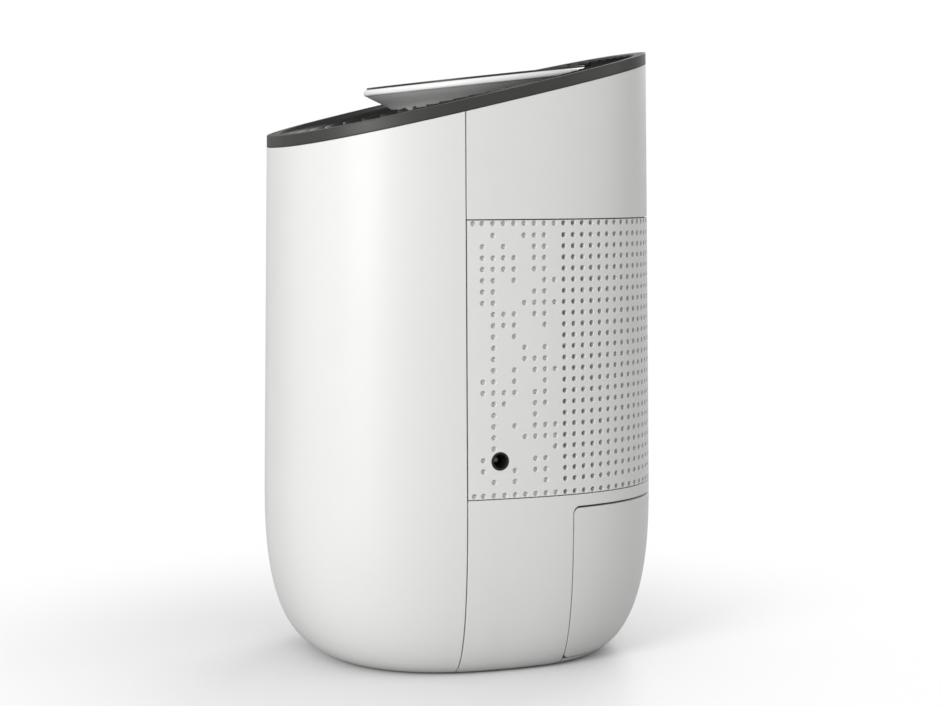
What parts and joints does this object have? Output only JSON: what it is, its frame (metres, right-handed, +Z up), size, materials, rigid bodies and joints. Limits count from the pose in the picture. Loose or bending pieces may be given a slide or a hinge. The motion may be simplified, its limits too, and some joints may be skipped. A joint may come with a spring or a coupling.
{
  "type": "compact dehumidifier",
  "caption": "Small thermoelectric dehumidifier: rounded body, sloping charcoal top ring with swirl louvre, dished control pod, perforated back and pull-out water tank.",
  "frame": {"origin": "on the floor, under the middle of the body", "axes": "+Z up; -Y is the front, at the low end of the sloping top; the tank pulls out along +Y; the DC inlet faces +X"},
  "size_m": [0.1548, 0.1818, 0.2853],
  "materials": {
    "shell_white": "satin moulded ABS",
    "grille_white": "satin moulded ABS, perforated",
    "ring_charcoal": "fine matt",
    "louvre_black": "fine matt",
    "pod_white": "satin",
    "face_black": "gloss",
    "button_black": "satin",
    "lens_clear": "translucent",
    "frame_grey": "moulded",
    "fan_black": "moulded",
    "rubber_grey": "matt",
    "screw_steel": "zinc plated",
    "aluminium": "extruded",
    "ceramic_white": "ceramic tile",
    "foam_black": "closed-cell foam",
    "board_green": "solder mask",
    "parts_dark": "moulded",
    "jack_black": "moulded",
    "pin_metal": "nickel plated",
    "tank_smoke": "translucent smoke",
    "lid_white": "moulded",
    "float_white": "foam"
  },
  "bodies": {
    "housing": {"front_shell": "shell_white", "rear_skirt": "shell_white", "rear_top_band": "shell_white", "rear_grille": "grille_white", "rear_frame": "frame_grey", "top_ring": "ring_charcoal", "outlet_louvre": "louvre_black", "control_pod": "pod_white", "pod_face": "face_black", "power_light": "lens_clear", "tank_full_light": "lens_clear", "pod_board": "board_green", "button_switch": "parts_dark", "pod_screws": "screw_steel", "base_plate": "shell_white", "rubber_feet": "rubber_grey", "base_screws": "screw_steel", "chassis": "frame_grey", "fan_plate": "frame_grey", "fan_frame": "fan_black", "fan_motor": "parts_dark", "fan_screws": "screw_steel", "hot_sink": "aluminium", "cold_sink": "aluminium", "peltier_module": "ceramic_white", "insulation_foam": "foam_black", "stack_screws": "screw_steel", "drip_tray": "lid_white", "main_board": "board_green", "board_parts": "parts_dark", "board_screws": "screw_steel", "dc_jack": "jack_black", "dc_jack_pin": "pin_metal", "reed_sensor": "parts_dark"},
    "tank": {"tank_body": "tank_smoke", "tank_lid": "lid_white", "tank_skin": "shell_white", "float_pin": "screw_steel"},
    "float": {"tank_float": "float_white", "float_magnet": "pin_metal"},
    "rotor": {"fan_rotor": "fan_black"},
    "button": {"power_button": "button_black"}
  },
  "joints": [
    {"name": "tank_slide", "type": "slide", "parent": "housing", "child": "tank", "axis": [0, 1, 0], "range_m": [0, 0.12]},
    {"name": "float_swing", "type": "hinge", "parent": "tank", "child": "float", "pos_m": [0.027, -0.008, 0.058], "axis": [1, 0, 0], "range_deg": [0, 18]},
    {"name": "fan_spin", "type": "hinge", "parent": "housing", "child": "rotor", "pos_m": [0, 0.005, 0.22], "axis": [0, 0, 1], "continuous": true},
    {"name": "power_press", "type": "slide", "parent": "housing", "child": "button", "axis": [0, 0.1113, -0.9938], "range_m": [0, 0.0008], "stiffness_N_per_m": 800}
  ]
}
